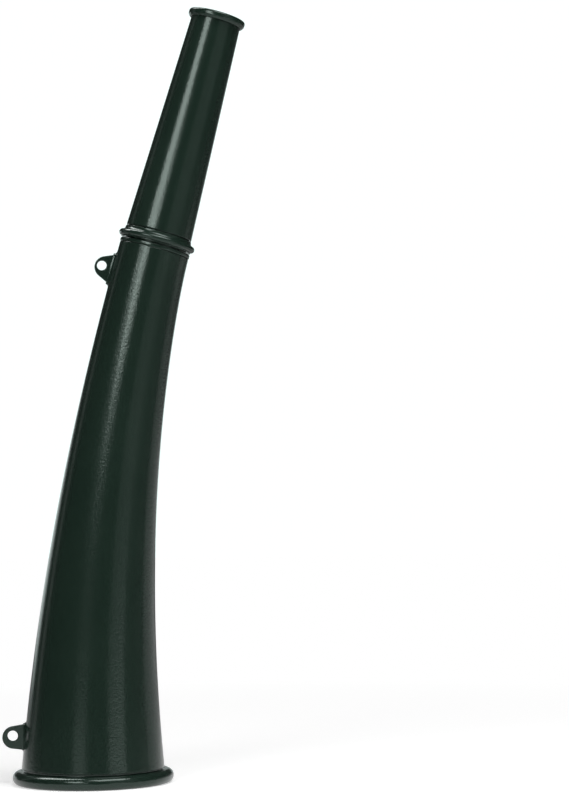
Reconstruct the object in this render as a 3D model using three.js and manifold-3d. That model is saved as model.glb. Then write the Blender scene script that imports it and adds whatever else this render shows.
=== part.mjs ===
// A short curved signal horn: a bowed, flaring sheet-brass body with a beaded bell and two strap lugs,
// and a straight conical mouthpiece that plugs into it and carries a brass reed.
// Millimetres, +Z up. The horn stands on its bell, bows towards +X and has its strap lugs on the -X side.

import * as THREE from 'three';
import { mergeVertices } from 'three/addons/utils/BufferGeometryUtils.js';
import Module from 'manifold-3d';

const wasm = await Module();
wasm.setup();

// Fits and sheet
const FIT_GAP = 0.3; // between pieces that seat on, or in, one another
const TUBE_WALL = 0.7; // sheet of the body and of the cone
const SLEEVE_WALL = 0.7; // spigot sleeve
const SOCKET_WALL = 0.6;

// Mouthpiece, measured along its axis from the top of the socket lip
const CONE_BASE_RADIUS = 10.72;
const CONE_TIP_RADIUS = 7.95;
const CONE_START = 4.4;
const CONE_LENGTH = 71.9;
const MOUTH_LIP_HEIGHT = 0.6; // part of the mouth ring above the end of the cone
const MOUTH_RING_HEIGHT = 2.5;
const MOUTH_RING_PROUD = 1.2; // from the cone to the widest point of the ring
const MOUTH_BEVEL_HEIGHT = 0.8; // underside of the ring
const MOUTH_ROUND = 0.75; // top edge of the ring
const SPIGOT_DEPTH = 15; // into the socket
const SPIGOT_RISE = 13; // above the socket lip, up inside the cone

// Ring on the mouthpiece at the joint
const JOINT_CLEARANCE = 0.45; // shadow gap between the ring and the socket lip
const JOINT_SKIRT_HEIGHT = 0.35;
const JOINT_BEAD_RADIUS = 1;
const JOINT_STEP_PROUD = 0.1; // top of the ring, outside the foot of the cone

// Body, measured along its bowed axis from the bell mouth
const BOW_RADIUS = 680;
const BOW_LENGTH = 156.8;
const NECK_BOW_RADIUS = 354; // the neck is bent a little tighter
const NECK_LENGTH = 16;
const BELL_THROAT_RADIUS = 22.7; // outside of the tube where it meets the bell ring
const FLARE_POWER = 1.4;
const SOCKET_DEPTH = 16.5;
const SOCKET_LIP_HEIGHT = 1.2;
const SOCKET_LIP_PROUD = 0.15;
const SOCKET_LIP_ROUND = 0.3;

// Bell ring
const BELL_BEAD_PROUD = 2.9; // from the tube to the widest point of the bead
const BELL_BEAD_HEIGHT = 4.2;
const BELL_BEAD_ROUND = 2;
const BELL_STEP_HEIGHT = 0.6; // narrow step between the bead and the end of the tube
const BELL_STEP_INSET = 0.7;
const BELL_SLEEVE_RISE = 4; // of the sleeve inside the tube
const BELL_SLEEVE_WALL = 0.8;

// Strap lugs: reach is outwards from the tube, rise is along it
const LUG_THICKNESS = 2;
const UPPER_LUG_DROP = 10.1; // below the end of the body
const LOWER_LUG_RISE = 14.5; // above the bell mouth
const UPPER_LUG = {
  holeReach: 3.6, holeRadius: 1.55, eyeReach: 3.1, eyeRise: 0.2, eyeRadius: 2.75,
  rootAbove: 4.5, rootBelow: 5,
};
const LOWER_LUG = {
  holeReach: 3.8, holeRadius: 1.65, eyeReach: 3.85, eyeRise: -0.1, eyeRadius: 3.25,
  rootAbove: 4.3, rootBelow: 3.8,
};

// Reed unit, in the spigot
const PLUG_FLANGE_HEIGHT = 2;
const PLUG_LENGTH = 11; // above the flange
const PLUG_BORE_RADIUS = 2.6;
const CORK_THICKNESS = 0.9;
const SHALLOT_RADIUS = 4;
const SHALLOT_WALL = 0.8;
const SHALLOT_SEAT_DEPTH = 7; // in the plug
const SHALLOT_FREE_LENGTH = 32; // above the plug
const SHALLOT_END_WALL = 1;
const BED_OFFSET = 1.6; // flat bed of the shallot, from its axis
const BED_START = 0.8; // of the bed, above the plug
const BRIDGE_LENGTH = 8; // solid stretch of the bed that takes the screws
const BRIDGE_THICKNESS = 1.4;
const TONGUE_WIDTH = 6.6;
const TONGUE_THICKNESS = 0.4;
const TONGUE_LIFT = 0.6; // at the tip, beyond the gap at the root
const TONGUE_TIP_INSET = 0.5; // from the end of the shallot
const CLAMP_END_INSET = 1; // of the clamp and the tongue, from the ends of the bridge
const CLAMP_THICKNESS = 1.2;
const SCREW_RADIUS = 0.6;
const SCREW_HEAD_RADIUS = 1.1;
const SCREW_HEAD_HEIGHT = 0.7;
const SCREW_SPACING = 3.6;

// Counts
const TURNED_SIDES = 48;
const BELL_SIDES = 64;
const SMALL_SIDES = 24;
const SCREW_SIDES = 12;
const BODY_RINGS = 16;
const ROUND_STEPS = 4;
const BEAD_STEPS = 8;
const EYE_STEPS = 20;

// Sizes that follow from the ones above
const mouthTop = CONE_START + CONE_LENGTH + FIT_GAP + MOUTH_LIP_HEIGHT;
const bodyLength = BOW_LENGTH + NECK_LENGTH;
const neckLean = BOW_LENGTH / BOW_RADIUS;
const mouthpieceLean = neckLean + NECK_LENGTH / NECK_BOW_RADIUS;
const spigotRadius = coneRadius(SPIGOT_RISE) - TUBE_WALL - FIT_GAP;
const spigotBore = spigotRadius - SLEEVE_WALL;
const socketBore = spigotRadius + FIT_GAP;
const socketRadius = socketBore + SOCKET_WALL;
const neckRadius = socketRadius + FIT_GAP + TUBE_WALL;
const lipRadius = neckRadius + SOCKET_LIP_PROUD;
const tubeStart = BELL_BEAD_HEIGHT + BELL_STEP_HEIGHT + FIT_GAP;
const tubeEnd = bodyLength - SOCKET_LIP_HEIGHT - FIT_GAP;
const plugTop = PLUG_LENGTH - SPIGOT_DEPTH - FIT_GAP;
const corkRadius = spigotBore - FIT_GAP;
const corkBore = corkRadius - CORK_THICKNESS;
const plugRadius = corkBore - FIT_GAP;
const shallotFoot = plugTop - SHALLOT_SEAT_DEPTH + FIT_GAP;
const shallotTop = plugTop + SHALLOT_FREE_LENGTH;
const bedStart = plugTop + BED_START;
const clampStart = bedStart + CLAMP_END_INSET;
const clampEnd = bedStart + BRIDGE_LENGTH - CLAMP_END_INSET;
const tongueBed = BED_OFFSET + FIT_GAP;
const clampBed = tongueBed + TONGUE_THICKNESS + FIT_GAP;
const headBed = clampBed + CLAMP_THICKNESS + FIT_GAP;
const screwStation = (clampStart + clampEnd) / 2;

const greenEnamel = new THREE.MeshStandardMaterial({ color: 0x141f1b, roughness: 0.32, metalness: 0.1 });
const bareBrass = new THREE.MeshStandardMaterial({ color: 0xb5924c, roughness: 0.35, metalness: 1 });
const reedBrass = new THREE.MeshStandardMaterial({ color: 0xc9a75c, roughness: 0.25, metalness: 1 });
const cork = new THREE.MeshStandardMaterial({ color: 0xa9805a, roughness: 0.9, metalness: 0 });

// Outside radius of the cone at a height along the mouthpiece.
function coneRadius(height) {
  const share = (height - CONE_START) / CONE_LENGTH;
  return CONE_BASE_RADIUS + (CONE_TIP_RADIUS - CONE_BASE_RADIUS) * share;
}

// Outside radius of the body tube at a station along its axis.
function tubeRadius(station) {
  const share = Math.max(0, (bodyLength - station) / (bodyLength - tubeStart));
  return neckRadius + (BELL_THROAT_RADIUS - neckRadius) * share ** FLARE_POWER;
}

// Centre and lean of the body's axis at a station: the long bow, then the tighter one of the neck.
function bowAt(station) {
  const lean = Math.min(station, BOW_LENGTH) / BOW_RADIUS;
  const neckTurn = Math.max(0, station - BOW_LENGTH) / NECK_BOW_RADIUS;
  const endLean = lean + neckTurn;
  const x = BOW_RADIUS * (1 - Math.cos(lean)) + NECK_BOW_RADIUS * (Math.cos(lean) - Math.cos(endLean));
  const z = BOW_RADIUS * Math.sin(lean) + NECK_BOW_RADIUS * (Math.sin(endLean) - Math.sin(lean));
  return { centre: new THREE.Vector3(x, 0, z), lean: endLean };
}

// Point at a distance across the axis, towards the inside of the bow, and out of its plane.
function bowPoint(station, across, aside) {
  const { centre, lean } = bowAt(station);
  return centre.add(new THREE.Vector3(across * Math.cos(lean), aside, -across * Math.sin(lean)));
}

// Bends a shape turned about Z, so that its heights become stations along the body's axis.
function bendToBow(geometry) {
  const position = geometry.getAttribute('position');
  for (let i = 0; i < position.count; i += 1) {
    const point = bowPoint(position.getZ(i), position.getX(i), position.getY(i));
    position.setXYZ(i, point.x, point.y, point.z);
  }
  geometry.computeVertexNormals();
  return geometry;
}

// Points of an arc in a turned outline, as [radius, height].
function arc(centreRadius, centreHeight, radius, fromDegrees, toDegrees, steps) {
  return Array.from({ length: steps + 1 }, (_, i) => {
    const angle = THREE.MathUtils.degToRad(THREE.MathUtils.lerp(fromDegrees, toDegrees, i / steps));
    return [centreRadius + radius * Math.cos(angle), centreHeight + radius * Math.sin(angle)];
  });
}

// Points of a hollow quarter of an oval, up and inwards from a foot that the outline has reached.
function cove(footRadius, foot, topRadius, top, steps) {
  return Array.from({ length: steps }, (_, i) => {
    const angle = Math.PI / 2 * (i + 1) / steps;
    const radius = THREE.MathUtils.lerp(footRadius, topRadius, Math.sin(angle));
    return [radius, THREE.MathUtils.lerp(top, foot, Math.cos(angle))];
  });
}

// Closed ring turned about Z. Its outline runs up the outside and down the inside.
function turnedRing(outline, sides = TURNED_SIDES) {
  const loop = [...outline, outline[0]].map(([radius, height]) => new THREE.Vector2(radius, height));
  return new THREE.LatheGeometry(loop, sides).rotateX(Math.PI / 2);
}

function cylinder(radius, bottom, top, sides) {
  const rod = new THREE.CylinderGeometry(radius, radius, top - bottom, sides);
  return rod.rotateX(Math.PI / 2).translate(0, 0, (bottom + top) / 2);
}

// Box from its lowest and highest corners.
function block(low, high) {
  const box = new THREE.Box3(new THREE.Vector3(...low), new THREE.Vector3(...high));
  const size = box.getSize(new THREE.Vector3());
  const centre = box.getCenter(new THREE.Vector3());
  return new THREE.BoxGeometry(size.x, size.y, size.z).translate(centre.x, centre.y, centre.z);
}

function toManifold(geometry) {
  const bare = geometry.clone();
  bare.deleteAttribute('normal');
  bare.deleteAttribute('uv');
  const welded = mergeVertices(bare);
  return new wasm.Manifold(new wasm.Mesh({
    numProp: 3,
    vertProperties: new Float32Array(welded.getAttribute('position').array),
    triVerts: new Uint32Array(welded.getIndex().array),
  }));
}

function fromManifold(solid) {
  const mesh = solid.getMesh();
  const geometry = new THREE.BufferGeometry();
  geometry.setAttribute('position', new THREE.BufferAttribute(mesh.vertProperties, 3));
  geometry.setIndex(new THREE.BufferAttribute(mesh.triVerts, 1));
  geometry.computeVertexNormals();
  return geometry;
}

function piece(name, geometry, material) {
  const mesh = new THREE.Mesh(geometry, material);
  mesh.name = name;
  return mesh;
}

function hornBody() {
  const stations = Array.from({ length: BODY_RINGS + 1 }, (_, i) => (
    THREE.MathUtils.lerp(tubeStart, tubeEnd, i / BODY_RINGS)
  ));
  const outside = stations.map((station) => [tubeRadius(station), station]);
  const inside = stations.map((station) => [tubeRadius(station) - TUBE_WALL, station]).reverse();
  return piece('horn_body', bendToBow(turnedRing([...outside, ...inside])), greenEnamel);
}

function bellRimRing() {
  const rimRadius = BELL_THROAT_RADIUS + BELL_BEAD_PROUD;
  const roundCentre = rimRadius - BELL_BEAD_ROUND;
  const stepRadius = BELL_THROAT_RADIUS - BELL_STEP_INSET;
  const stepTop = BELL_BEAD_HEIGHT + BELL_STEP_HEIGHT;
  const sleeveTop = tubeStart + BELL_SLEEVE_RISE;
  const sleeveFootRadius = BELL_THROAT_RADIUS - TUBE_WALL - FIT_GAP;
  const sleeveTopRadius = tubeRadius(sleeveTop) - TUBE_WALL - FIT_GAP;
  const outline = [
    [sleeveFootRadius - BELL_SLEEVE_WALL, 0],
    ...arc(roundCentre, BELL_BEAD_ROUND, BELL_BEAD_ROUND, -90, 0, ROUND_STEPS),
    ...arc(roundCentre, BELL_BEAD_HEIGHT - BELL_BEAD_ROUND, BELL_BEAD_ROUND, 0, 90, ROUND_STEPS),
    [stepRadius, BELL_BEAD_HEIGHT],
    [stepRadius, stepTop],
    [sleeveFootRadius, stepTop],
    [sleeveTopRadius, sleeveTop],
    [sleeveTopRadius - BELL_SLEEVE_WALL, sleeveTop],
  ];
  return piece('bell_rim_ring', turnedRing(outline, BELL_SIDES), greenEnamel);
}

function roundHole(reach, radius) {
  const points = Array.from({ length: EYE_STEPS }, (_, i) => {
    const angle = 2 * Math.PI * i / EYE_STEPS;
    return new THREE.Vector2(reach + radius * Math.cos(angle), radius * Math.sin(angle));
  });
  return new THREE.Path(points);
}

// Plate with a round eye and a root that tapers to the tube. It stands in the plane of the bow.
function strapLug(name, lug, station) {
  const root = FIT_GAP;
  const tangentAngle = (rise, side) => {
    const across = root - lug.eyeReach;
    const along = rise - lug.eyeRise;
    const opening = Math.acos(lug.eyeRadius / Math.hypot(across, along));
    return Math.atan2(along, across) + side * opening;
  };
  const lowerTangent = tangentAngle(-lug.rootBelow, 1);
  const upperTangent = tangentAngle(lug.rootAbove, -1);
  const plate = new THREE.Shape();
  plate.moveTo(root, lug.rootAbove);
  plate.lineTo(root, -lug.rootBelow);
  plate.absarc(lug.eyeReach, lug.eyeRise, lug.eyeRadius, lowerTangent, upperTangent, false);
  plate.closePath();
  plate.holes.push(roundHole(lug.holeReach, lug.holeRadius));
  const options = { depth: LUG_THICKNESS, bevelEnabled: false, curveSegments: EYE_STEPS };
  const mesh = piece(name, new THREE.ExtrudeGeometry(plate, options), greenEnamel);
  mesh.geometry.translate(0, 0, -LUG_THICKNESS / 2);
  return seatOnTube(mesh, station, lug.rootAbove, lug.rootBelow);
}

// Stands a lug on the outer side of the bow: its X points outwards and its Y runs up the tube.
function seatOnTube(mesh, station, above, below) {
  const skin = (at) => bowPoint(at, -tubeRadius(at), 0);
  const up = skin(station + above).sub(skin(station - below)).normalize();
  const aside = new THREE.Vector3(0, 1, 0);
  const outward = new THREE.Vector3().crossVectors(up, aside);
  mesh.quaternion.setFromRotationMatrix(new THREE.Matrix4().makeBasis(outward, up, aside));
  mesh.position.copy(skin(station));
  return mesh;
}

// The pieces below stand in the mouthpiece's frame: Z is its axis, from the top of the socket lip.
function socketSleeve() {
  const roundCentre = lipRadius - SOCKET_LIP_ROUND;
  const outline = [
    [socketBore, -SOCKET_DEPTH],
    [socketRadius, -SOCKET_DEPTH],
    [socketRadius, -SOCKET_LIP_HEIGHT],
    [lipRadius, -SOCKET_LIP_HEIGHT],
    ...arc(roundCentre, -SOCKET_LIP_ROUND, SOCKET_LIP_ROUND, 0, 90, ROUND_STEPS),
    [socketBore, 0],
  ];
  return piece('socket_sleeve', turnedRing(outline), greenEnamel);
}

function mouthpieceCone() {
  const coneEnd = CONE_START + CONE_LENGTH;
  const outline = [
    [CONE_BASE_RADIUS - TUBE_WALL, CONE_START],
    [CONE_BASE_RADIUS, CONE_START],
    [CONE_TIP_RADIUS, coneEnd],
    [CONE_TIP_RADIUS - TUBE_WALL, coneEnd],
  ];
  return piece('mouthpiece_cone', turnedRing(outline), greenEnamel);
}

function mouthRimRing() {
  const bottom = mouthTop - MOUTH_RING_HEIGHT;
  const seatRadius = coneRadius(bottom) + FIT_GAP;
  const rimRadius = coneRadius(bottom) + MOUTH_RING_PROUD;
  const lipUnderside = mouthTop - MOUTH_LIP_HEIGHT;
  const boreRadius = CONE_TIP_RADIUS - TUBE_WALL;
  const roundHeight = mouthTop - MOUTH_ROUND;
  const bevelWidth = (rimRadius - seatRadius) / 2;
  const lipRound = MOUTH_LIP_HEIGHT / 2;
  const outline = [
    [seatRadius, bottom],
    [rimRadius - bevelWidth, bottom],
    [rimRadius, bottom + MOUTH_BEVEL_HEIGHT],
    ...arc(rimRadius - MOUTH_ROUND, roundHeight, MOUTH_ROUND, 0, 90, ROUND_STEPS),
    ...arc(boreRadius + lipRound, mouthTop - lipRound, lipRound, 90, 180, ROUND_STEPS),
    [boreRadius, lipUnderside],
    [seatRadius, lipUnderside],
  ];
  return piece('mouth_rim_ring', turnedRing(outline), greenEnamel);
}

function jointRing() {
  const beadHeight = JOINT_CLEARANCE + JOINT_SKIRT_HEIGHT + JOINT_BEAD_RADIUS;
  const beadTop = beadHeight + JOINT_BEAD_RADIUS;
  const ringTop = CONE_START - FIT_GAP;
  const stepRadius = CONE_BASE_RADIUS + JOINT_STEP_PROUD;
  const bore = spigotRadius + FIT_GAP;
  const outline = [
    [bore, JOINT_CLEARANCE],
    [lipRadius, JOINT_CLEARANCE],
    ...arc(lipRadius, beadHeight, JOINT_BEAD_RADIUS, -90, 90, BEAD_STEPS),
    ...cove(lipRadius, beadTop, stepRadius, ringTop, ROUND_STEPS),
    [bore, ringTop],
  ];
  return piece('joint_ring', turnedRing(outline), greenEnamel);
}

function spigotSleeve() {
  const outline = [
    [spigotBore, -SPIGOT_DEPTH],
    [spigotRadius, -SPIGOT_DEPTH],
    [spigotRadius, SPIGOT_RISE],
    [spigotBore, SPIGOT_RISE],
  ];
  return piece('spigot_sleeve', turnedRing(outline), bareBrass);
}

function reedPlug() {
  const flangeTop = -SPIGOT_DEPTH - FIT_GAP;
  const flangeFoot = flangeTop - PLUG_FLANGE_HEIGHT;
  const seatRadius = SHALLOT_RADIUS + FIT_GAP;
  const seatFloor = plugTop - SHALLOT_SEAT_DEPTH;
  const outline = [
    [PLUG_BORE_RADIUS, flangeFoot],
    [spigotRadius, flangeFoot],
    [spigotRadius, flangeTop],
    [plugRadius, flangeTop],
    [plugRadius, plugTop],
    [seatRadius, plugTop],
    [seatRadius, seatFloor],
    [PLUG_BORE_RADIUS, seatFloor],
  ];
  return piece('reed_plug', turnedRing(outline), bareBrass);
}

function reedPlugCork() {
  const foot = -SPIGOT_DEPTH;
  const top = plugTop - FIT_GAP;
  const outline = [[corkBore, foot], [corkRadius, foot], [corkRadius, top], [corkBore, top]];
  return piece('reed_plug_cork', turnedRing(outline), cork);
}

// Half-round trough: a tube closed at the top, cut to a flat bed, with a bridge under the clamp.
function reedShallot() {
  const bore = SHALLOT_RADIUS - SHALLOT_WALL;
  const bridgeFloor = BED_OFFSET - BRIDGE_THICKNESS;
  const rod = toManifold(cylinder(SHALLOT_RADIUS, shallotFoot, shallotTop, SMALL_SIDES));
  const boreEnd = shallotTop - SHALLOT_END_WALL;
  const hollow = toManifold(cylinder(bore, shallotFoot - FIT_GAP, boreEnd, SMALL_SIDES));
  const bridge = toManifold(block(
    [bridgeFloor, -SHALLOT_RADIUS, bedStart],
    [BED_OFFSET, SHALLOT_RADIUS, bedStart + BRIDGE_LENGTH],
  ));
  const aboveBed = toManifold(block(
    [BED_OFFSET, -SHALLOT_RADIUS, bedStart],
    [SHALLOT_RADIUS + FIT_GAP, SHALLOT_RADIUS, shallotTop + FIT_GAP],
  ));
  const trough = rod.subtract(hollow.subtract(bridge)).subtract(aboveBed);
  const drilled = trough.subtract(screwHole(-1)).subtract(screwHole(1));
  return piece('reed_shallot', fromManifold(drilled), bareBrass);
}

// Clearance hole for one clamp screw, through the bar, the tongue and the bridge.
function screwHole(side) {
  const bridgeFloor = BED_OFFSET - BRIDGE_THICKNESS;
  const hole = cylinder(SCREW_RADIUS + FIT_GAP, bridgeFloor - FIT_GAP, headBed, SCREW_SIDES);
  return toManifold(hole.rotateY(Math.PI / 2).translate(0, side * SCREW_SPACING / 2, screwStation));
}

// Brass strip: flat under the clamp, then rising from the bed to its tip.
function reedTongue() {
  const tip = shallotTop - TONGUE_TIP_INSET;
  const side = new THREE.Shape([
    new THREE.Vector2(tongueBed, clampStart),
    new THREE.Vector2(tongueBed + TONGUE_THICKNESS, clampStart),
    new THREE.Vector2(tongueBed + TONGUE_THICKNESS, clampEnd),
    new THREE.Vector2(tongueBed + TONGUE_THICKNESS + TONGUE_LIFT, tip),
    new THREE.Vector2(tongueBed + TONGUE_LIFT, tip),
    new THREE.Vector2(tongueBed, clampEnd),
  ]);
  const strip = new THREE.ExtrudeGeometry(side, { depth: TONGUE_WIDTH, bevelEnabled: false });
  strip.rotateX(Math.PI / 2).translate(0, TONGUE_WIDTH / 2, 0);
  const drilled = toManifold(strip).subtract(screwHole(-1)).subtract(screwHole(1));
  return piece('reed_tongue', fromManifold(drilled), reedBrass);
}

function reedClampBar() {
  const bar = toManifold(block(
    [clampBed, -TONGUE_WIDTH / 2, clampStart],
    [clampBed + CLAMP_THICKNESS, TONGUE_WIDTH / 2, clampEnd],
  ));
  const drilled = bar.subtract(screwHole(-1)).subtract(screwHole(1));
  return piece('reed_clamp_bar', fromManifold(drilled), bareBrass);
}

function reedClampScrew(name, side) {
  const tip = BED_OFFSET - BRIDGE_THICKNESS + FIT_GAP;
  const outline = [
    [0, tip],
    [SCREW_RADIUS, tip],
    [SCREW_RADIUS, headBed],
    [SCREW_HEAD_RADIUS, headBed],
    [SCREW_HEAD_RADIUS, headBed + SCREW_HEAD_HEIGHT],
    [0, headBed + SCREW_HEAD_HEIGHT],
  ];
  const profile = outline.map(([radius, height]) => new THREE.Vector2(radius, height));
  const screw = new THREE.LatheGeometry(profile, SCREW_SIDES).rotateX(Math.PI / 2).rotateY(Math.PI / 2);
  return piece(name, screw.translate(0, side * SCREW_SPACING / 2, screwStation), bareBrass);
}

// Group whose Z is the mouthpiece's axis, standing on the socket lip.
function jointFrame() {
  const frame = new THREE.Group();
  frame.position.copy(bowAt(bodyLength).centre);
  frame.rotation.y = mouthpieceLean;
  return frame;
}

function bodyGroup() {
  const body = new THREE.Group();
  const joint = jointFrame().add(socketSleeve());
  body.add(hornBody(), bellRimRing(), joint);
  body.add(strapLug('upper_strap_lug', UPPER_LUG, bodyLength - UPPER_LUG_DROP));
  body.add(strapLug('lower_strap_lug', LOWER_LUG, LOWER_LUG_RISE));
  return body;
}

function reedGroup() {
  const reed = new THREE.Group();
  reed.add(reedPlug(), reedPlugCork(), reedShallot(), reedTongue(), reedClampBar());
  reed.add(reedClampScrew('reed_clamp_screw_left', 1), reedClampScrew('reed_clamp_screw_right', -1));
  return reed;
}

function mouthpieceGroup() {
  const mouthpiece = jointFrame();
  mouthpiece.add(mouthpieceCone(), mouthRimRing(), jointRing(), spigotSleeve(), reedGroup());
  return mouthpiece;
}

// The origin is on the floor, under the middle of the whole horn.
function centreOnFloor(group) {
  const centre = new THREE.Box3().setFromObject(group, true).getCenter(new THREE.Vector3());
  group.position.set(-centre.x, -centre.y, 0);
  return group;
}

const horn = centreOnFloor(new THREE.Group().add(bodyGroup(), mouthpieceGroup()));

export default horn;
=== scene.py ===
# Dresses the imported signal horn: finely turned pieces and strap lugs in the place of its CAD pieces,
# with procedural enamel, brass and cork. Lengths are in millimetres, as in the part's source, until
# a mesh is made.

import math

import bpy
from mathutils import Matrix, Vector
from mathutils.geometry import intersect_line_line_2d


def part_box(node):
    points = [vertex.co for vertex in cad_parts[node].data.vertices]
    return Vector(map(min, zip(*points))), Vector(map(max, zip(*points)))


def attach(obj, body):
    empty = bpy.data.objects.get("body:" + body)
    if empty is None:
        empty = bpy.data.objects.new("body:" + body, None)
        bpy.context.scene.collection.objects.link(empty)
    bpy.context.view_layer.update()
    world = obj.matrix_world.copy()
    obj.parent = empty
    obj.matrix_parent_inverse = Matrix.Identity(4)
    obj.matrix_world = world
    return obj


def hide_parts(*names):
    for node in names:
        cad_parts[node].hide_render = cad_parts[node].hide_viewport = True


MM = 0.001
HALF_TURN = 180  # degrees
FULL_TURN = 360

# Fits that show
SEAM = 0.06  # between pieces that are joined for good
FOOT_SEAM = 0.3  # the dark line at the foot of the cone
SLIDE_GAP = 0.3  # between pieces that slide apart
EDGE_ROUND = 0.25  # on every sharp turned edge
EDGE_GUARD = 1.4  # edge rounds from a corner to the point beside it that keeps the long face evenly shaded
EDGE_PARTS = 3  # of a short edge: a corner's round takes at most one of them
SHARP_DEGREES = 20  # a corner that turns by more gets the edge round
SMOOTH_DEGREES = 40  # an edge that turns by less is shaded smooth

# Sheet
TUBE_WALL = 0.7
SLEEVE_WALL = 0.7
SOCKET_WALL = 0.6

# Mouthpiece, along its axis from the top of the socket lip
CONE_BASE_RADIUS = 10.72
CONE_TIP_RADIUS = 7.95
CONE_START = 4.4
CONE_LENGTH = 71.9
CONE_TOP_SEAT = 0.3  # between the cone's end and the mouth ring's lip
MOUTH_LIP_HEIGHT = 0.6
MOUTH_RING_HEIGHT = 2.5
MOUTH_RING_PROUD = 1.2
MOUTH_BEVEL_HEIGHT = 0.8
MOUTH_ROUND = 0.75
SPIGOT_DEPTH = 15
SPIGOT_RISE = 13

# Ring on the mouthpiece at the joint
JOINT_CLEARANCE = 0.45
JOINT_SKIRT_HEIGHT = 0.35
JOINT_BEAD_RADIUS = 1
JOINT_STEP_PROUD = 0.1
JOINT_FOOT_INSET = 1.5  # of the step that hides the sleeve in the gap below the ring
JOINT_SHOULDER = 1.2  # up inside the cone's foot

# Body, along its bowed axis from the bell mouth
BOW_RADIUS = 680
BOW_LENGTH = 156.8
NECK_BOW_RADIUS = 354
NECK_LENGTH = 16
BELL_THROAT_RADIUS = 22.7
FLARE_POWER = 1.4
FLARE_START = 5
SOCKET_DEPTH = 16.5
SOCKET_LIP_HEIGHT = 1.2
SOCKET_LIP_PROUD = 0.15
SOCKET_LIP_ROUND = 0.3

# Bell ring
BELL_BEAD_PROUD = 2.9
BELL_BEAD_HEIGHT = 4.2
BELL_BEAD_ROUND = 2
BELL_STEP_HEIGHT = 0.6
BELL_STEP_INSET = 0.7
BELL_SLEEVE_RISE = 4
BELL_SLEEVE_WALL = 0.8

# Strap lugs: reach is outwards from the tube, rise is along it
LUG_THICKNESS = 2
LUG_SINK = 0.5  # of the root, in the tube's wall
LUG_EDGE_ROUND = 0.24
LUG_FILLET = 0.9  # along the tube
LUG_FILLET_ASIDE = 0.5
RAY_LENGTH = 20  # from a lug's hole to well past the outline
UPPER_LUG_DROP = 10.1  # below the end of the body
LOWER_LUG_RISE = 14.5  # above the bell mouth
UPPER_LUG = {
    "hole_reach": 3.6, "hole_radius": 1.55, "eye_reach": 2.4, "eye_rise": -0.2,
    "eye_radius": 3.45, "root_above": 4.8, "root_below": 5.4,
}
LOWER_LUG = {
    "hole_reach": 3.8, "hole_radius": 1.65, "eye_reach": 3.5, "eye_rise": -0.5,
    "eye_radius": 3.55, "root_above": 4.3, "root_below": 4.1,
}

# Reed plug, in the spigot
PLUG_SEAT_GAP = 0.3
PLUG_FLANGE_HEIGHT = 2
PLUG_LENGTH = 11
PLUG_BORE_RADIUS = 2.6
CORK_THICKNESS = 0.9
SHALLOT_RADIUS = 4
SHALLOT_SEAT_DEPTH = 7

# Counts
TURNED_SIDES = 128
BODY_RINGS = 72
ROUND_STEPS = 8
BEAD_STEPS = 20
CORNER_STEPS = 3
EYE_STEPS = 48
LUG_SIDES = 96
RAY_SHIFT = 0.5  # of a step, so that no ray from a lug's hole runs along an axis
FILLET_STEPS = 6

# The camera, as the photograph was taken. Turns are in degrees
IMAGE_HEIGHT = 795
FOCAL_PIXELS = 2699.3
SENSOR = 36
LEVEL_PITCH = 90  # of a camera that looks level
CAMERA_PLACE = (8.5, -865, 96)
CAMERA_YAW = 2.83
CAMERA_PITCH = 1.71
CAMERA_ROLL = -0.86
CAMERA_CLIP = (10, 10000)

# Numbers of the colour sockets of a mixing node
MIX_COLOUR_INPUTS = (6, 7)
MIX_COLOUR_OUTPUT = 2

# Enamel, in millimetres and linear colour
ENAMEL_DARK = (0.0111, 0.0246, 0.0174)
ENAMEL_LIGHT = (0.014, 0.0288, 0.0208)
ENAMEL_DRIFT_SIZE = 22
ENAMEL_PEEL_SIZE = 0.9
ENAMEL_PEEL_DEPTH = 0.028
ENAMEL_GRAIN_SIZE = 0.5
ENAMEL_GRAIN_DEPTH = 0.02
ENAMEL_GRAIN_DETAIL = 1.0
ENAMEL_ROUGHNESS = (0.13, 0.23)
ENAMEL_IOR = 1.5
ENAMEL_SHEEN_TINT = (0.84, 1, 0.93)
NOISE_SPREAD = (0.3, 0.7)  # most of what the noise gives
NOISE_DETAIL = 2.0

# Brass and cork
BRASS_DARK = (0.52, 0.33, 0.12)
BRASS_LIGHT = (0.68, 0.47, 0.2)
BRASS_ROUGHNESS = (0.22, 0.36)
REED_DARK = (0.66, 0.46, 0.2)
REED_LIGHT = (0.78, 0.58, 0.28)
REED_ROUGHNESS = (0.16, 0.26)
TARNISH_SIZE = 6
TARNISH_DETAIL = 4.0
TURNING_MARK_SIZE = 0.35
TURNING_MARK_DEPTH = 0.01
TURNING_MARK_DETAIL = 3.0
CORK_DARK = (0.3, 0.16, 0.075)
CORK_LIGHT = (0.5, 0.32, 0.17)
CORK_FLECK = (0.1, 0.05, 0.025)
CORK_CELL_SIZE = 0.5
CORK_FLECK_SIZE = 1.3
CORK_FLECK_SPREAD = (0.6, 0.72)
CORK_FLECK_DETAIL = 3.0
CORK_DEPTH = 0.08
CORK_ROUGHNESS = 0.85

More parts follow.
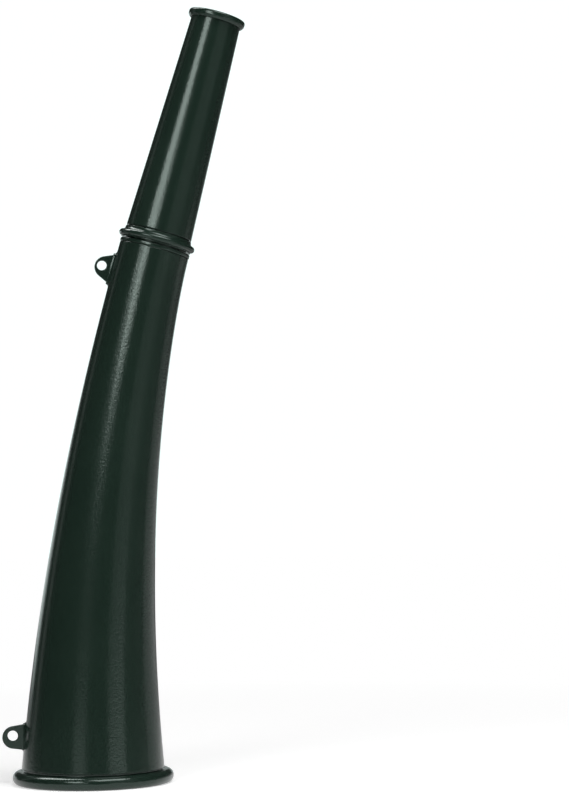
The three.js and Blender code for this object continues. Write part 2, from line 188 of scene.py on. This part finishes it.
# Stage
FLOOR_RADIUS = 2500
FLOOR_COLOUR = (0.8, 0.8, 0.8)
FLOOR_LIFT = 0.56  # own light of the floor, so that where it is lit it is white
FLOOR_GLOW_END = 350  # from the middle, where that light ends in reflections
FLOOR_FADE_START = 60  # where the floor starts to turn into the plain white background
FLOOR_FADE_END = 420
ROOM_LEVEL = 0.034
BACKDROP_COLOUR = (1, 1.12, 1.1)  # shows as white, and cool in the enamel
BACKDROP_TOP = (4, 7.5)  # degrees above the horizon over which it ends in reflections
BACKDROP_SPREAD = (  # degrees round from straight behind, and its share there in reflections
    (-42, 0), (-34, 1), (14, 1), (22, 0.12), (50, 0.02), (130, 0.02), (140, 0),
)
SOFT_LIGHT_DISTANCE = 700
SOFT_LIGHTS = (  # name, azimuth in degrees, low and high edge, width, radiance
    ("softbox", -30, 372, 680, 280, 6.3),
    ("softbox_foot", -20.5, 299, 372, 230, 8),
    ("fill_right", 46, 110, 700, 560, 0.25),
    ("fill_right_low", 40, 0, 60, 360, 1.6),
    ("fill_left_low", -22, 5, 75, 250, 1.1),
    ("edge_left", -118, 0, 650, 90, 0.3),
    ("edge_right", 130, 0, 86, 700, 0.36),
)
AIMED_LIGHTS = (  # name, place, aim, size, radiance, and if it lights more than the gloss
    ("high_light", (-370, 290, 930), (10, 0, 170), (300, 620), 9, False),
    ("top_light", (380, -480, 1200), (0, 0, 80), (900, 600), 6, True),
)

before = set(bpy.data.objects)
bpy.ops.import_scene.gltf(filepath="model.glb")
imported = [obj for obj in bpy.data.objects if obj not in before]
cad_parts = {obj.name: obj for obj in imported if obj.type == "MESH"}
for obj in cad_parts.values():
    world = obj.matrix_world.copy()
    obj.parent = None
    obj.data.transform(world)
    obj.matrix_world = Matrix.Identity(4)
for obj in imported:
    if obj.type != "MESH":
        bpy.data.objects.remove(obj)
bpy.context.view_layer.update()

# The bell's axis stands on the floor at this x
bell_low, bell_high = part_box("bell_rim_ring")
bell_axis = (bell_low.x + bell_high.x) / 2 / MM

# Sizes that follow from the ones above
body_length = BOW_LENGTH + NECK_LENGTH
neck_lean = BOW_LENGTH / BOW_RADIUS
mouthpiece_lean = neck_lean + NECK_LENGTH / NECK_BOW_RADIUS
mouth_top = CONE_START + CONE_LENGTH + CONE_TOP_SEAT + MOUTH_LIP_HEIGHT


def cone_radius(height):
    """Outside radius of the cone at a height along the mouthpiece."""
    share = (height - CONE_START) / CONE_LENGTH
    return CONE_BASE_RADIUS + (CONE_TIP_RADIUS - CONE_BASE_RADIUS) * share


spigot_radius = cone_radius(SPIGOT_RISE) - TUBE_WALL - SLIDE_GAP
spigot_bore = spigot_radius - SLEEVE_WALL
socket_bore = spigot_radius + SLIDE_GAP
socket_radius = socket_bore + SOCKET_WALL
neck_radius = socket_radius + SLIDE_GAP + TUBE_WALL
lip_radius = neck_radius + SOCKET_LIP_PROUD
plug_top = PLUG_LENGTH - SPIGOT_DEPTH - PLUG_SEAT_GAP
cork_radius = spigot_bore - PLUG_SEAT_GAP
cork_bore = cork_radius - CORK_THICKNESS


def tube_radius(station):
    """Outside radius of the body tube at a station along its axis."""
    share = max(0, (body_length - station) / (body_length - FLARE_START))
    return neck_radius + (BELL_THROAT_RADIUS - neck_radius) * share ** FLARE_POWER


def bow_at(station):
    """Centre and lean of the body's axis at a station."""
    lean = min(station, BOW_LENGTH) / BOW_RADIUS
    end_lean = lean + max(0, station - BOW_LENGTH) / NECK_BOW_RADIUS
    across = BOW_RADIUS * (1 - math.cos(lean)) + NECK_BOW_RADIUS * (math.cos(lean) - math.cos(end_lean))
    height = BOW_RADIUS * math.sin(lean) + NECK_BOW_RADIUS * (math.sin(end_lean) - math.sin(lean))
    return Vector((bell_axis + across, 0, height)), end_lean


def bow_point(across, aside, station):
    """Point at a distance across the body's axis, towards the inside of the bow, and out of its plane."""
    centre, lean = bow_at(station)
    return centre + Vector((across * math.cos(lean), aside, -across * math.sin(lean)))


def mouthpiece_point(across, aside, height):
    """Point in the mouthpiece's frame, whose height runs up its axis from the socket lip."""
    centre, lean = bow_at(body_length)
    outward = Vector((math.cos(lean), 0, -math.sin(lean)))
    upward = Vector((math.sin(lean), 0, math.cos(lean)))
    return centre + across * outward + aside * Vector((0, 1, 0)) + height * upward


def bell_point(across, aside, height):
    return Vector((bell_axis + across, aside, height))


def turns_round(count, shift=0.0):
    """Angles all round in equal steps, shifted by a share of a step."""
    return [2 * math.pi * (i + shift) / count for i in range(count)]


def quarter_turns(count):
    """Angles from 0 to a quarter turn in equal steps."""
    return [math.pi / 2 * i / count for i in range(count + 1)]


# Outlines, as (radius, height)

def arc(centre_radius, centre_height, radius, start, end, steps=ROUND_STEPS):
    """Points of an arc between two angles in degrees."""
    angles = [math.radians(start + (end - start) * i / steps) for i in range(steps + 1)]
    return [(centre_radius + radius * math.cos(a), centre_height + radius * math.sin(a)) for a in angles]


def cove(foot_radius, foot, top_radius, top):
    """Points of a hollow quarter of an oval, up and inwards from a foot."""
    return [
        (foot_radius + (top_radius - foot_radius) * math.sin(t), top + (foot - top) * math.cos(t))
        for t in quarter_turns(ROUND_STEPS)[1:]
    ]


def soften(outline):
    """Rounds the sharp corners of a closed outline, each between two guard points."""
    points = [Vector(p) for p in outline]
    rounded = []
    for i, here in enumerate(points):
        back = points[i - 1] - here
        ahead = points[(i + 1) % len(points)] - here
        if math.degrees(back.angle(-ahead)) < SHARP_DEGREES:
            rounded.append(here)
            continue
        reach = min(EDGE_ROUND, back.length / EDGE_PARTS, ahead.length / EDGE_PARTS)
        start = here + back.normalized() * reach
        end = here + ahead.normalized() * reach
        rounded.append(here.lerp(start, EDGE_GUARD))
        for step in range(CORNER_STEPS + 1):
            t = step / CORNER_STEPS
            rounded.append(start.lerp(here, t).lerp(here.lerp(end, t), t))
        rounded.append(here.lerp(end, EDGE_GUARD))
    return rounded


def body_outline():
    foot = BELL_BEAD_HEIGHT + BELL_STEP_HEIGHT + SEAM
    top = body_length - SOCKET_LIP_HEIGHT - SEAM
    stations = [foot + (top - foot) * i / BODY_RINGS for i in range(BODY_RINGS + 1)]
    outside = [(tube_radius(s), s) for s in stations]
    inside = [(tube_radius(s) - TUBE_WALL, s) for s in reversed(stations)]
    return outside + inside


def bell_ring_outline():
    rim = BELL_THROAT_RADIUS + BELL_BEAD_PROUD
    round_centre = rim - BELL_BEAD_ROUND
    step_top = BELL_BEAD_HEIGHT + BELL_STEP_HEIGHT
    sleeve_top = step_top + BELL_SLEEVE_RISE
    foot_radius = BELL_THROAT_RADIUS - TUBE_WALL - SEAM
    top_radius = tube_radius(sleeve_top) - TUBE_WALL - SEAM
    return [
        (foot_radius - BELL_SLEEVE_WALL, 0),
        *arc(round_centre, BELL_BEAD_ROUND, BELL_BEAD_ROUND, -90, 0),
        *arc(round_centre, BELL_BEAD_HEIGHT - BELL_BEAD_ROUND, BELL_BEAD_ROUND, 0, 90),
        (BELL_THROAT_RADIUS - BELL_STEP_INSET, BELL_BEAD_HEIGHT),
        (BELL_THROAT_RADIUS - BELL_STEP_INSET, step_top),
        (foot_radius, step_top),
        (top_radius, sleeve_top),
        (top_radius - BELL_SLEEVE_WALL, sleeve_top),
    ]


def socket_outline():
    return [
        (socket_bore, -SOCKET_DEPTH),
        (socket_radius, -SOCKET_DEPTH),
        (socket_radius, -SOCKET_LIP_HEIGHT),
        (lip_radius, -SOCKET_LIP_HEIGHT),
        *arc(lip_radius - SOCKET_LIP_ROUND, -SOCKET_LIP_ROUND, SOCKET_LIP_ROUND, 0, 90),
        (socket_bore, 0),
    ]


def cone_outline():
    foot = CONE_START - SLIDE_GAP + FOOT_SEAM
    top = CONE_START + CONE_LENGTH
    return [
        (cone_radius(foot) - TUBE_WALL, foot),
        (cone_radius(foot), foot),
        (CONE_TIP_RADIUS, top),
        (CONE_TIP_RADIUS - TUBE_WALL, top),
    ]


def mouth_ring_outline():
    bottom = mouth_top - MOUTH_RING_HEIGHT
    seat = cone_radius(bottom) + SEAM
    rim = cone_radius(bottom) + MOUTH_RING_PROUD
    underside = mouth_top - MOUTH_LIP_HEIGHT
    bore = CONE_TIP_RADIUS - TUBE_WALL
    lip_round = MOUTH_LIP_HEIGHT / 2
    return [
        (seat, bottom),
        ((rim + seat) / 2, bottom),
        (rim, bottom + MOUTH_BEVEL_HEIGHT),
        *arc(rim - MOUTH_ROUND, mouth_top - MOUTH_ROUND, MOUTH_ROUND, 0, 90),
        *arc(bore + lip_round, mouth_top - lip_round, lip_round, 90, 180),
        (bore, underside),
        (seat, underside),
    ]


def joint_ring_outline():
    bead_height = JOINT_CLEARANCE + JOINT_SKIRT_HEIGHT + JOINT_BEAD_RADIUS
    ring_top = CONE_START - SLIDE_GAP
    bore = spigot_radius + SEAM
    shoulder = cone_radius(ring_top) - TUBE_WALL - SEAM
    return [
        (bore, SEAM),
        (lip_radius - JOINT_FOOT_INSET, SEAM),
        (lip_radius - JOINT_FOOT_INSET, JOINT_CLEARANCE),
        (lip_radius, JOINT_CLEARANCE),
        *arc(lip_radius, bead_height, JOINT_BEAD_RADIUS, -90, 90, BEAD_STEPS),
        *cove(lip_radius, bead_height + JOINT_BEAD_RADIUS, CONE_BASE_RADIUS + JOINT_STEP_PROUD, ring_top),
        (shoulder, ring_top),
        (shoulder, ring_top + JOINT_SHOULDER),
        (bore, ring_top + JOINT_SHOULDER),
    ]


def spigot_outline():
    return [
        (spigot_bore, -SPIGOT_DEPTH),
        (spigot_radius, -SPIGOT_DEPTH),
        (spigot_radius, SPIGOT_RISE),
        (spigot_bore, SPIGOT_RISE),
    ]


def plug_outline():
    flange_top = -SPIGOT_DEPTH - PLUG_SEAT_GAP
    flange_foot = flange_top - PLUG_FLANGE_HEIGHT
    seat_radius = SHALLOT_RADIUS + PLUG_SEAT_GAP
    seat_floor = plug_top - SHALLOT_SEAT_DEPTH
    return [
        (PLUG_BORE_RADIUS, flange_foot),
        (spigot_radius, flange_foot),
        (spigot_radius, flange_top),
        (cork_bore - SEAM, flange_top),
        (cork_bore - SEAM, plug_top),
        (seat_radius, plug_top),
        (seat_radius, seat_floor),
        (PLUG_BORE_RADIUS, seat_floor),
    ]


def cork_outline():
    foot = -SPIGOT_DEPTH - PLUG_SEAT_GAP + SEAM
    top = plug_top - PLUG_SEAT_GAP
    return [(cork_bore, foot), (cork_radius, foot), (cork_radius, top), (cork_bore, top)]


# Meshes

def mesh_object(name, points, faces):
    """New object from points in millimetres, shaded smooth between its sharp edges."""
    mesh = bpy.data.meshes.new(name)
    mesh.from_pydata([tuple(p * MM) for p in points], [], faces)
    mesh.update()
    mesh.shade_smooth()
    mesh.set_sharp_from_angle(angle=math.radians(SMOOTH_DEGREES))
    made = bpy.data.objects.new(name, mesh)
    bpy.context.scene.collection.objects.link(made)
    return made


def bridge(loops, first, closed):
    """Faces from each loop of points to the next, and if closed from the last loop to the first one."""
    count = len(loops[0])
    faces = []
    for row in range(len(loops) if closed else len(loops) - 1):
        here = first + row * count
        beside = first + (row + 1) % len(loops) * count
        for i in range(count):
            following = (i + 1) % count
            faces.append((here + i, here + following, beside + following, beside + i))
    return faces


def turned_piece(name, outline, point_at):
    """Closed ring turned about an axis. point_at gives the point that is (across, aside, height) on it."""
    rings = [
        [point_at(radius * math.cos(t), radius * math.sin(t), height) for t in turns_round(TURNED_SIDES)]
        for radius, height in soften(outline)
    ]
    return mesh_object(name, sum(rings, []), bridge(rings, 0, True))


def lug_seat(lug, station):
    """Place of a lug on the outer side of the bow, and its outward and upward directions."""
    def skin(at):
        return bow_point(-tube_radius(at), 0, at)

    up = (skin(station + lug["root_above"]) - skin(station - lug["root_below"])).normalized()
    return skin(station), up.cross(Vector((0, 1, 0))), up


def lug_edge(lug, inset):
    """The plate's outline as (reach, rise): the root's two corners, then round the eye between them."""
    root = inset - LUG_SINK
    radius = lug["eye_radius"] - inset
    above = lug["root_above"] - inset
    below = lug["root_below"] - inset

    def tangent(rise, side):
        across = root - lug["eye_reach"]
        along = rise - lug["eye_rise"]
        return math.atan2(along, across) + side * math.acos(radius / math.hypot(across, along))

    start = tangent(-below, 1)
    end = tangent(above, -1)
    turns = [start + (end - start) * i / EYE_STEPS for i in range(EYE_STEPS + 1)]
    eye = [(lug["eye_reach"] + radius * math.cos(t), lug["eye_rise"] + radius * math.sin(t)) for t in turns]
    return [(root, above), (root, -below), *eye]


def edge_ring(lug, inset, aside):
    """Points (reach, rise, aside) where rays from the hole's middle meet the outline."""
    outline = [Vector(p) for p in lug_edge(lug, inset)]
    middle = Vector((lug["hole_reach"], 0))
    ring = []
    for ray in ray_directions():
        far = middle + ray * RAY_LENGTH
        hits = [intersect_line_line_2d(middle, far, outline[i - 1], p) for i, p in enumerate(outline)]
        ring.append((*next(hit for hit in hits if hit), aside))
    return ring


def hole_ring(lug, widening, aside):
    """Points (reach, rise, aside) of the hole on the same rays."""
    middle = Vector((lug["hole_reach"], 0))
    return [(*(middle + ray * (lug["hole_radius"] + widening)), aside) for ray in ray_directions()]


def ray_directions():
    return [Vector((math.cos(t), math.sin(t))) for t in turns_round(LUG_SIDES, RAY_SHIFT)]


def lug_plate(lug):
    """Rings of the flat plate with its hole, from one side round its rounded edges to the other."""
    half = LUG_THICKNESS / 2
    section = [(EDGE_GUARD * LUG_EDGE_ROUND, -half)]
    for turn in quarter_turns(CORNER_STEPS):
        section.append((LUG_EDGE_ROUND * (1 - math.sin(turn)), LUG_EDGE_ROUND * (1 - math.cos(turn)) - half))
    section += [(inset, -aside) for inset, aside in reversed(section)]
    outer = [edge_ring(lug, inset, aside) for inset, aside in section]
    inner = [hole_ring(lug, inset, aside) for inset, aside in reversed(section)]
    return outer + inner


def lug_fillet(lug):
    """Loops of the hollow run of solder round the root, which narrow from the tube up to the plate."""
    loops = [root_loop(lug, -LUG_FILLET, 1)]
    for turn in quarter_turns(FILLET_STEPS):
        loops.append(root_loop(lug, LUG_FILLET * (1 - math.cos(turn)), 1 - math.sin(turn)))
    return loops


def root_loop(lug, reach, spread_share):
    """Round-ended loop of (reach, rise, aside) about the plate's root."""
    half = LUG_THICKNESS / 2 + LUG_FILLET_ASIDE * spread_share
    upper = lug["root_above"] + LUG_FILLET * spread_share - half
    lower = half - lug["root_below"] - LUG_FILLET * spread_share
    loop = []
    for middle, start in ((upper, 0), (lower, math.pi)):
        for i in range(ROUND_STEPS + 1):
            turn = start + math.pi * i / ROUND_STEPS
            loop.append((reach, middle + half * math.sin(turn), -half * math.cos(turn)))
    return loop


def strap_lug(name, lug, station):
    """A lug and its fillet as one piece."""
    place, outward, up = lug_seat(lug, station)
    plate = lug_plate(lug)
    fillet = lug_fillet(lug)
    count = len(fillet[0])
    start = len(plate) * LUG_SIDES
    end = start + len(fillet) * count
    faces = bridge(plate, 0, True) + bridge(fillet, start, False)
    faces.append(tuple(reversed(range(start, start + count))))
    faces.append(tuple(range(end - count, end)))
    points = [
        place + reach * outward + rise * up + Vector((0, aside, 0))
        for loop in plate + fillet for reach, rise, aside in loop
    ]
    return mesh_object(name, points, faces)


# Materials

def new_material(name):
    """A node material, its tree and its shader."""
    material = bpy.data.materials.new(name)
    material.use_nodes = True
    return material, material.node_tree, material.node_tree.nodes["Principled BSDF"]


def add_node(tree, kind, inputs=None, **settings):
    """Adds a node. Each input is given a value, or a socket to link from."""
    made = tree.nodes.new(kind)
    for key, value in settings.items():
        setattr(made, key, value)
    for key, value in (inputs or {}).items():
        if isinstance(value, bpy.types.NodeSocket):
            tree.links.new(value, made.inputs[key])
        else:
            made.inputs[key].default_value = value
    return made


def object_place(tree):
    return add_node(tree, "ShaderNodeTexCoord").outputs["Object"]


def noise(tree, place, size, detail=NOISE_DETAIL):
    """Noise whose cells are about size millimetres wide."""
    inputs = {"Vector": place, "Scale": 1 / (size * MM), "Detail": detail}
    return add_node(tree, "ShaderNodeTexNoise", inputs).outputs["Fac"]


def remap(tree, value, low, high, start=0.0, end=1.0):
    """Maps start..end onto low..high."""
    inputs = {"Value": value, "From Min": start, "From Max": end, "To Min": low, "To Max": high}
    return add_node(tree, "ShaderNodeMapRange", inputs).outputs["Result"]


def blend_colours(tree, share, first, second):
    """Mixes two colours by a share."""
    mixed = add_node(tree, "ShaderNodeMix", {"Factor": share}, data_type="RGBA")
    for number, colour in zip(MIX_COLOUR_INPUTS, (first, second)):
        socket = mixed.inputs[number]
        if isinstance(colour, bpy.types.NodeSocket):
            tree.links.new(colour, socket)
        else:
            socket.default_value = (*colour, 1)
    return mixed.outputs[MIX_COLOUR_OUTPUT]


def bump(tree, height, depth, normal=None):
    """Relief of a depth in millimetres."""
    inputs = {"Height": height, "Distance": depth * MM, "Strength": 1.0}
    if normal:
        inputs["Normal"] = normal
    return add_node(tree, "ShaderNodeBump", inputs).outputs["Normal"]


def green_enamel():
    """Stoved enamel: very dark green, with orange peel and a fine grain in its gloss."""
    material, tree, shader = new_material("green_enamel")
    place = object_place(tree)
    drift = remap(tree, noise(tree, place, ENAMEL_DRIFT_SIZE), 0, 1, *NOISE_SPREAD)
    colour = blend_colours(tree, drift, ENAMEL_DARK, ENAMEL_LIGHT)
    grain = noise(tree, place, ENAMEL_GRAIN_SIZE, ENAMEL_GRAIN_DETAIL)
    peel = noise(tree, place, ENAMEL_PEEL_SIZE)
    normal = bump(tree, grain, ENAMEL_GRAIN_DEPTH, bump(tree, peel, ENAMEL_PEEL_DEPTH))
    tree.links.new(colour, shader.inputs["Base Color"])
    tree.links.new(remap(tree, grain, *ENAMEL_ROUGHNESS, *NOISE_SPREAD), shader.inputs["Roughness"])
    tree.links.new(normal, shader.inputs["Normal"])
    shader.inputs["IOR"].default_value = ENAMEL_IOR
    shader.inputs["Specular Tint"].default_value = (*ENAMEL_SHEEN_TINT, 1)
    return material


def axis_rings(tree, size):
    """Fine rings round the mouthpiece's axis, as a lathe tool leaves them."""
    turn = add_node(tree, "ShaderNodeMapping", {"Vector": object_place(tree)})
    turn.inputs["Rotation"].default_value = (0, -mouthpiece_lean, 0)
    split = add_node(tree, "ShaderNodeSeparateXYZ", {"Vector": turn.outputs["Vector"]})
    flat = add_node(tree, "ShaderNodeCombineXYZ", {"Z": split.outputs["Z"]})
    return noise(tree, flat.outputs["Vector"], size, TURNING_MARK_DETAIL)


def brass(name, dark, light, roughness):
    """Bare brass with the marks of turning, and a faint uneven tarnish."""
    material, tree, shader = new_material(name)
    place = object_place(tree)
    tarnish = remap(tree, noise(tree, place, TARNISH_SIZE, TARNISH_DETAIL), 0, 1, *NOISE_SPREAD)
    rings = axis_rings(tree, TURNING_MARK_SIZE)
    tree.links.new(blend_colours(tree, tarnish, dark, light), shader.inputs["Base Color"])
    tree.links.new(remap(tree, rings, *roughness, *NOISE_SPREAD), shader.inputs["Roughness"])
    tree.links.new(bump(tree, rings, TURNING_MARK_DEPTH), shader.inputs["Normal"])
    shader.inputs["Metallic"].default_value = 1
    return material


def cork():
    """Sanded cork: pale brown cells with dark flecks."""
    material, tree, shader = new_material("cork")
    place = object_place(tree)
    cells = add_node(tree, "ShaderNodeTexVoronoi", {"Vector": place, "Scale": 1 / (CORK_CELL_SIZE * MM)})
    shade = blend_colours(tree, cells.outputs["Distance"], CORK_DARK, CORK_LIGHT)
    flecks = remap(tree, noise(tree, place, CORK_FLECK_SIZE, CORK_FLECK_DETAIL), 0, 1, *CORK_FLECK_SPREAD)
    tree.links.new(blend_colours(tree, flecks, shade, CORK_FLECK), shader.inputs["Base Color"])
    tree.links.new(bump(tree, cells.outputs["Distance"], CORK_DEPTH), shader.inputs["Normal"])
    shader.inputs["Roughness"].default_value = CORK_ROUGHNESS
    return material


# Stage

def combine(tree, operation, first, second):
    """One number from two numbers or sockets."""
    return add_node(tree, "ShaderNodeMath", {0: first, 1: second}, operation=operation).outputs[0]


def background_seen(tree, mirrored):
    """One for the camera and through glass, and in reflections the given share of one."""
    path = add_node(tree, "ShaderNodeLightPath").outputs
    direct = combine(tree, "MAXIMUM", path["Is Camera Ray"], path["Is Transmission Ray"])
    return combine(tree, "MAXIMUM", direct, combine(tree, "MULTIPLY", path["Is Glossy Ray"], mirrored))


def floor_piece():
    """Pale round floor that keeps the shadow. Further out the camera sees it as the white background."""
    radius = FLOOR_RADIUS * MM
    rim = [(radius * math.cos(t), radius * math.sin(t), 0) for t in turns_round(TURNED_SIDES)]
    mesh = bpy.data.meshes.new("floor")
    mesh.from_pydata(rim, [], [tuple(range(TURNED_SIDES))])
    floor = bpy.data.objects.new("floor", mesh)
    bpy.context.scene.collection.objects.link(floor)
    material, tree, shader = new_material("floor")
    shader.inputs["Base Color"].default_value = (*FLOOR_COLOUR, 1)
    shader.inputs["Roughness"].default_value = 1
    shader.inputs["Specular IOR Level"].default_value = 0
    length = add_node(tree, "ShaderNodeVectorMath", {0: object_place(tree)}, operation="LENGTH")
    distance = length.outputs["Value"]
    seen = background_seen(tree, remap(tree, distance, 1, 0, 0, FLOOR_GLOW_END * MM))
    fade = remap(tree, distance, 0, 1, FLOOR_FADE_START * MM, FLOOR_FADE_END * MM)
    far = combine(tree, "MULTIPLY", seen, fade)
    lift = add_node(tree, "ShaderNodeEmission", {"Strength": combine(tree, "MULTIPLY", seen, FLOOR_LIFT)})
    near = add_node(tree, "ShaderNodeAddShader", {0: shader.outputs[0], 1: lift.outputs[0]})
    white = add_node(tree, "ShaderNodeEmission", {"Strength": 1.0})
    ground = add_node(tree, "ShaderNodeMixShader", {0: far, 1: near.outputs[0], 2: white.outputs[0]})
    tree.links.new(ground.outputs[0], tree.nodes["Material Output"].inputs["Surface"])
    floor.data.materials.append(material)


def surroundings():
    """White all round to the camera. In reflections the white stands low behind, in a dim room."""
    world = bpy.data.worlds.new("studio")
    bpy.context.scene.world = world
    world.use_nodes = True
    tree = world.node_tree
    direction = add_node(tree, "ShaderNodeTexCoord").outputs["Generated"]
    split = add_node(tree, "ShaderNodeSeparateXYZ", {"Vector": direction})
    round_about = combine(tree, "ARCTAN2", split.outputs["X"], split.outputs["Y"])
    spread = add_node(tree, "ShaderNodeValToRGB", {"Fac": remap(tree, round_about, 0, 1, -math.pi, math.pi)})
    stops = spread.color_ramp.elements
    for stop in stops:
        stop.color = (0, 0, 0, 1)
    for degrees, share in BACKDROP_SPREAD:
        stops.new((degrees + HALF_TURN) / FULL_TURN).color = (share, share, share, 1)
    low = remap(tree, split.outputs["Z"], 1, 0, *[math.sin(math.radians(d)) for d in BACKDROP_TOP])
    seen = background_seen(tree, combine(tree, "MULTIPLY", low, spread.outputs["Color"]))
    colour = blend_colours(tree, seen, (ROOM_LEVEL,) * 3, BACKDROP_COLOUR)
    tree.links.new(colour, tree.nodes["Background"].inputs["Color"])


def soft_light(name, azimuth, low, high, width, radiance):
    """Upright soft box. Azimuth 0 is the camera's side, and it grows to the right."""
    turn = math.radians(azimuth)
    height = (low + high) / 2
    place = (math.sin(turn) * SOFT_LIGHT_DISTANCE, -math.cos(turn) * SOFT_LIGHT_DISTANCE, height)
    area_light(name, place, (0, 0, height), (width, high - low), radiance, True)


def area_light(name, place, aim, size, radiance, diffuse):
    """Area light of a given radiance, aimed at a point. Without diffuse it shows only in reflections."""
    light = bpy.data.lights.new(name, "AREA")
    light.shape = "RECTANGLE"
    light.size = size[0] * MM
    light.size_y = size[1] * MM
    light.energy = radiance * math.pi * light.size * light.size_y
    lamp = bpy.data.objects.new(name, light)
    lamp.location = Vector(place) * MM
    lamp.rotation_euler = (Vector(place) - Vector(aim)).to_track_quat("Z", "Y").to_euler()
    lamp.visible_camera = False
    lamp.visible_diffuse = diffuse
    bpy.context.scene.collection.objects.link(lamp)


def photograph_camera():
    camera = bpy.data.cameras.new("camera")
    camera.sensor_width = SENSOR
    camera.lens = FOCAL_PIXELS * SENSOR / IMAGE_HEIGHT
    camera.clip_start = CAMERA_CLIP[0] * MM
    camera.clip_end = CAMERA_CLIP[1] * MM
    placed = bpy.data.objects.new("camera", camera)
    yaw = Matrix.Rotation(-math.radians(CAMERA_YAW), 4, "Z")
    pitch = Matrix.Rotation(math.radians(LEVEL_PITCH + CAMERA_PITCH), 4, "X")
    roll = Matrix.Rotation(math.radians(CAMERA_ROLL), 4, "Z")
    placed.matrix_world = Matrix.Translation(Vector(CAMERA_PLACE) * MM) @ yaw @ pitch @ roll
    bpy.context.scene.collection.objects.link(placed)
    bpy.context.scene.camera = placed


# The horn

MATERIALS = {
    "green_enamel": green_enamel(),
    "bare_brass": brass("bare_brass", BRASS_DARK, BRASS_LIGHT, BRASS_ROUGHNESS),
    "reed_brass": brass("reed_brass", REED_DARK, REED_LIGHT, REED_ROUGHNESS),
    "cork": cork(),
}


def dress(made, node, body, slot):
    """Puts a piece in the place of a CAD node."""
    made.data.materials.clear()
    made.data.materials.append(MATERIALS[slot])
    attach(made, body)
    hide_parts(node)


TURNED_PIECES = (
    ("bowed_tube", body_outline, bow_point, "horn_body", "horn", "green_enamel"),
    ("bell_ring", bell_ring_outline, bell_point, "bell_rim_ring", "horn", "green_enamel"),
    ("socket", socket_outline, mouthpiece_point, "socket_sleeve", "horn", "green_enamel"),
    ("cone", cone_outline, mouthpiece_point, "mouthpiece_cone", "mouthpiece", "green_enamel"),
    ("mouth_ring", mouth_ring_outline, mouthpiece_point, "mouth_rim_ring", "mouthpiece", "green_enamel"),
    ("ring_at_joint", joint_ring_outline, mouthpiece_point, "joint_ring", "mouthpiece", "green_enamel"),
    ("spigot", spigot_outline, mouthpiece_point, "spigot_sleeve", "mouthpiece", "bare_brass"),
    ("plug", plug_outline, mouthpiece_point, "reed_plug", "reed_unit", "bare_brass"),
    ("plug_cork", cork_outline, mouthpiece_point, "reed_plug_cork", "reed_unit", "cork"),
)
LUG_PIECES = (
    ("lug_at_neck", UPPER_LUG, body_length - UPPER_LUG_DROP, "upper_strap_lug"),
    ("lug_at_bell", LOWER_LUG, LOWER_LUG_RISE, "lower_strap_lug"),
)
CARRIED_OVER = {
    "reed_shallot": "bare_brass",
    "reed_clamp_bar": "bare_brass",
    "reed_clamp_screw_left": "bare_brass",
    "reed_clamp_screw_right": "bare_brass",
    "reed_tongue": "reed_brass",
}

for piece_name, outline_of, point_at, node_name, body_name, slot_name in TURNED_PIECES:
    dress(turned_piece(piece_name, outline_of(), point_at), node_name, body_name, slot_name)
for piece_name, lug_sizes, lug_station, node_name in LUG_PIECES:
    dress(strap_lug(piece_name, lug_sizes, lug_station), node_name, "horn", "green_enamel")
for node_name, slot_name in CARRIED_OVER.items():
    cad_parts[node_name].data.materials.clear()
    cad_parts[node_name].data.materials.append(MATERIALS[slot_name])

photograph_camera()
floor_piece()
surroundings()
for light_facts in SOFT_LIGHTS:
    soft_light(*light_facts)
for light_facts in AIMED_LIGHTS:
    area_light(*light_facts)
bpy.context.scene.view_settings.view_transform = "Standard"
